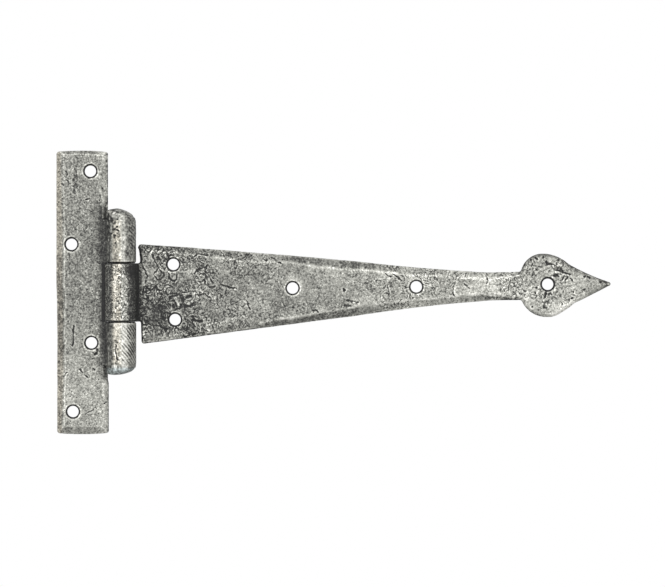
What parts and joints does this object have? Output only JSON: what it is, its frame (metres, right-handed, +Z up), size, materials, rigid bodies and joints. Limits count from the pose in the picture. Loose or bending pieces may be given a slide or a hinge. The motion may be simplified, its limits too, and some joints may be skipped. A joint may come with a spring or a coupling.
{
  "type": "tee hinge",
  "caption": "Hand-forged surface tee hinge: a tall fixed plate with rolled knuckles, a long tapered strap with a spade-shaped end, and a pin with welded domed ends.",
  "frame": {"origin": "middle of the fixed plate's back face", "axes": "+X along the strap, from the fixed plate to the spade; +Z up along the pin; the front, with the barrel, faces -Y"},
  "size_m": [0.229, 0.013, 0.1172],
  "materials": {
    "forged_plate": "hammered, pewter-coloured patina, waxed",
    "forged_strap": "hammered and scaled, pewter-coloured patina, waxed",
    "dressed_weld": "weld filed round and brightened"
  },
  "bodies": {
    "fixed_side": {"wall_plate": "forged_plate", "hinge_pin": "dressed_weld"},
    "strap_side": {"strap": "forged_strap"}
  },
  "joints": [
    {"name": "strap_swing", "type": "hinge", "parent": "fixed_side", "child": "strap_side", "pos_m": [0.01637, -0.0062, 0], "axis": [0, 0, -1], "range_deg": [-90, 180]}
  ]
}
